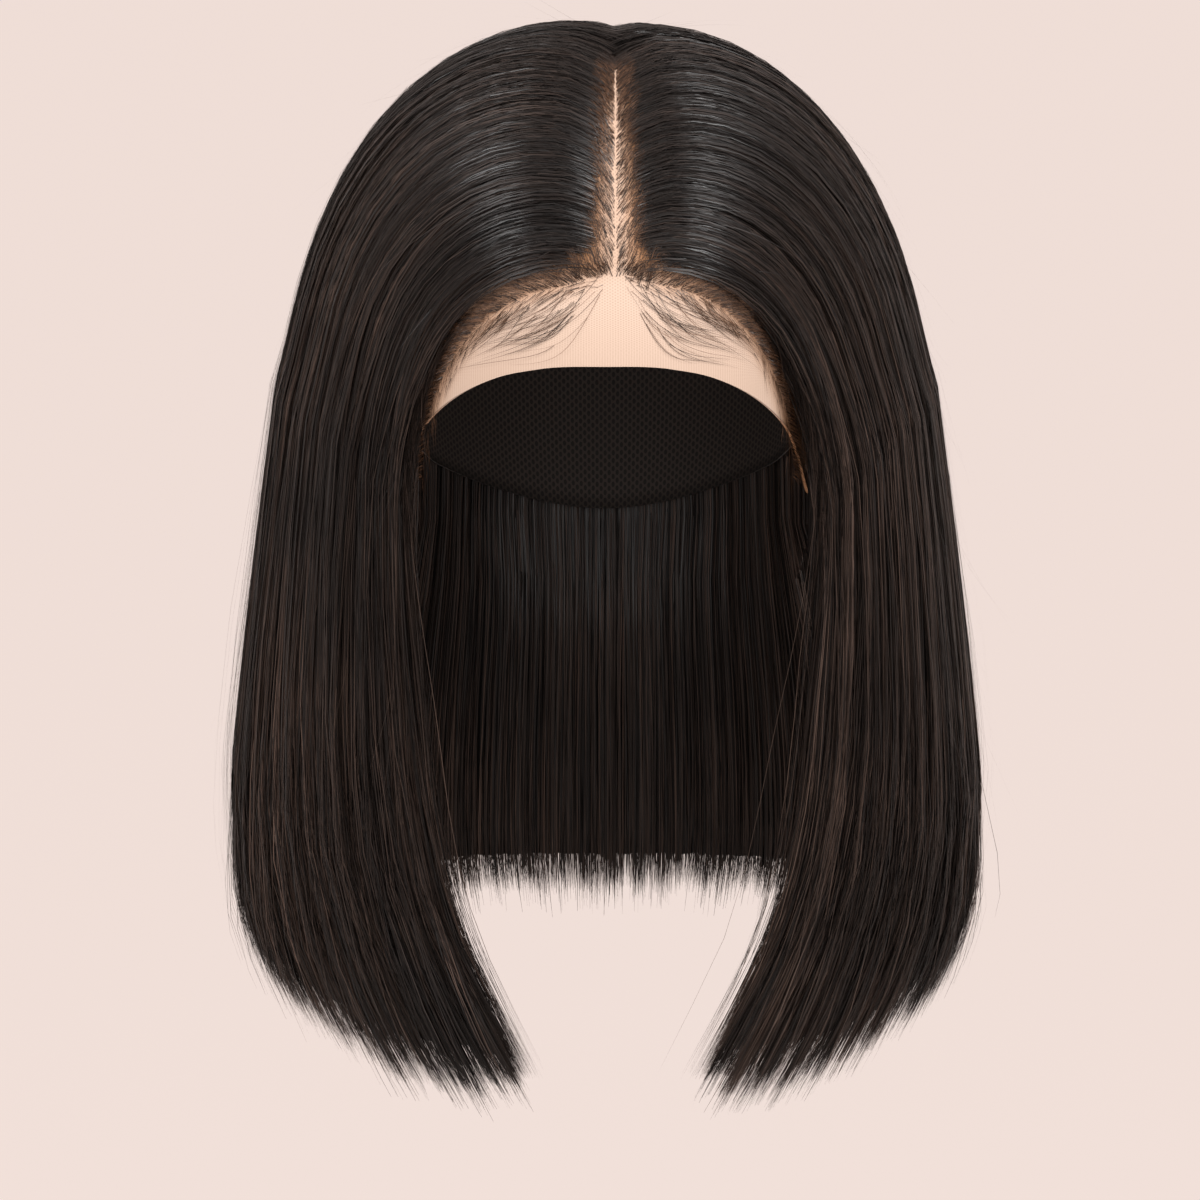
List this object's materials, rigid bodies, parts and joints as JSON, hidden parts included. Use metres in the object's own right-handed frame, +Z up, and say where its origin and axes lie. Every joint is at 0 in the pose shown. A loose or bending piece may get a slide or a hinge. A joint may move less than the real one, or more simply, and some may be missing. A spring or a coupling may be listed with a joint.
{
  "type": "bob wig with a lace front",
  "caption": "Straight chin-to-shoulder bob wig with a centre parting, a skin-coloured lace front and a net cap, in the form it has when worn.",
  "frame": {"origin": "the inside of the crown, on the head's upright middle line, where the cap sits on a head", "axes": "+Z up, the face looks along -Y, +X to the viewer's right"},
  "size_m": [0.264, 0.2149, 0.3628],
  "materials": {
    "hair": "satin",
    "lace": "matte",
    "net": "matte"
  },
  "bodies": {
    "root": {"lace_front": "lace", "net_cap": "net", "front_hair_left": "hair", "side_hair_left": "hair", "back_hair": "hair", "side_hair_right": "hair", "front_hair_right": "hair"}
  },
  "joints": []
}
